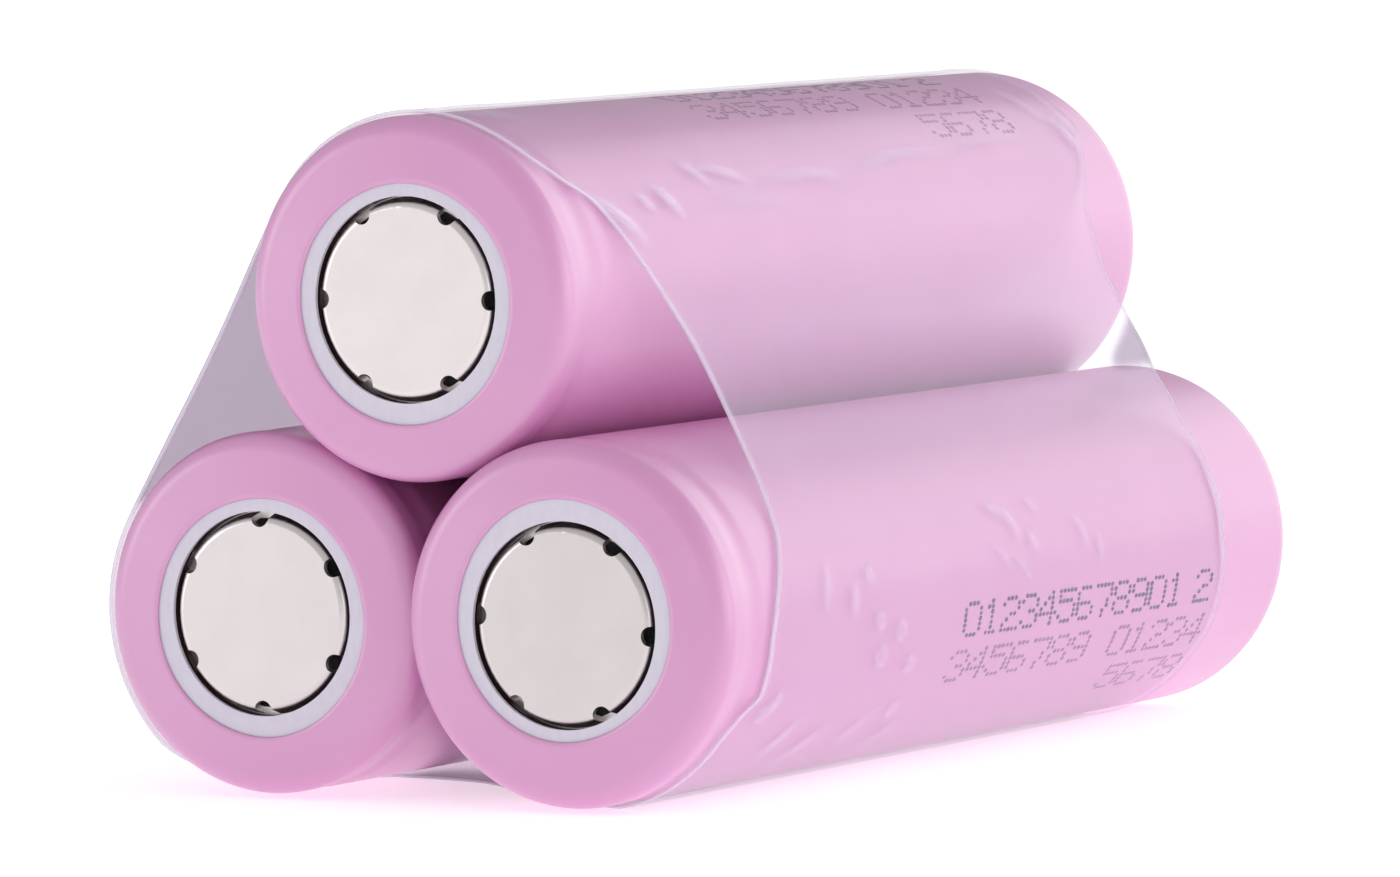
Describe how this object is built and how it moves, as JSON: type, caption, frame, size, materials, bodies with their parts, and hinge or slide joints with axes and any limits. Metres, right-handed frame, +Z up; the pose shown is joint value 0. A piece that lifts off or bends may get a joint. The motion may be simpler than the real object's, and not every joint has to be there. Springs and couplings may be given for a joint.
{
  "type": "battery pack",
  "caption": "Triangular stack of cylindrical lithium-ion cells in pink sleeves, laid lengthwise and bundled by a clear open-ended shrink film; flat-top terminals at the front.",
  "frame": {"origin": "middle of the pack's length and width, on the flat underside that it lies on", "axes": "+Y along the cells towards their negative ends, so the positive terminals face -Y; +Z up through the top cell; +X towards the lower cell that stands furthest forward"},
  "size_m": [0.0374, 0.0666, 0.0349],
  "materials": {
    "jacket": "satin",
    "washer": "matte",
    "can_steel": "satin",
    "terminal": "satin",
    "gasket": "matte",
    "ptc": "matte",
    "header_aluminium": "satin",
    "insulator": "matte",
    "cathode": "matte",
    "anode": "matte",
    "separator": "satin",
    "nickel": "satin",
    "film": "gloss"
  },
  "bodies": {
    "wrap": {"shrink_film": "film"},
    "top_cell": {"top_sleeve": "jacket", "top_insulating_washer": "washer", "top_can": "can_steel", "top_crimp_gasket": "gasket", "top_positive_cap": "terminal", "top_ptc_ring": "ptc", "top_burst_disc": "header_aluminium", "top_cid_gasket": "insulator", "top_cid_disc": "header_aluminium", "top_positive_tab": "header_aluminium", "top_upper_insulator": "insulator", "top_cathode": "cathode", "top_anode": "anode", "top_separator": "separator", "top_centre_pin": "can_steel", "top_lower_insulator": "insulator", "top_negative_tab": "nickel"},
    "left_cell": {"left_sleeve": "jacket", "left_insulating_washer": "washer", "left_can": "can_steel", "left_crimp_gasket": "gasket", "left_positive_cap": "terminal", "left_ptc_ring": "ptc", "left_burst_disc": "header_aluminium", "left_cid_gasket": "insulator", "left_cid_disc": "header_aluminium", "left_positive_tab": "header_aluminium", "left_upper_insulator": "insulator", "left_cathode": "cathode", "left_anode": "anode", "left_separator": "separator", "left_centre_pin": "can_steel", "left_lower_insulator": "insulator", "left_negative_tab": "nickel"},
    "right_cell": {"right_sleeve": "jacket", "right_insulating_washer": "washer", "right_can": "can_steel", "right_crimp_gasket": "gasket", "right_positive_cap": "terminal", "right_ptc_ring": "ptc", "right_burst_disc": "header_aluminium", "right_cid_gasket": "insulator", "right_cid_disc": "header_aluminium", "right_positive_tab": "header_aluminium", "right_upper_insulator": "insulator", "right_cathode": "cathode", "right_anode": "anode", "right_separator": "separator", "right_centre_pin": "can_steel", "right_lower_insulator": "insulator", "right_negative_tab": "nickel"}
  },
  "joints": [
    {"name": "top_cell_slide", "type": "slide", "parent": "wrap", "child": "top_cell", "axis": [0, -1, 0], "range_m": [0, 0.066]},
    {"name": "left_cell_slide", "type": "slide", "parent": "wrap", "child": "left_cell", "axis": [0, -1, 0], "range_m": [0, 0.066]},
    {"name": "right_cell_slide", "type": "slide", "parent": "wrap", "child": "right_cell", "axis": [0, -1, 0], "range_m": [0, 0.066]}
  ]
}
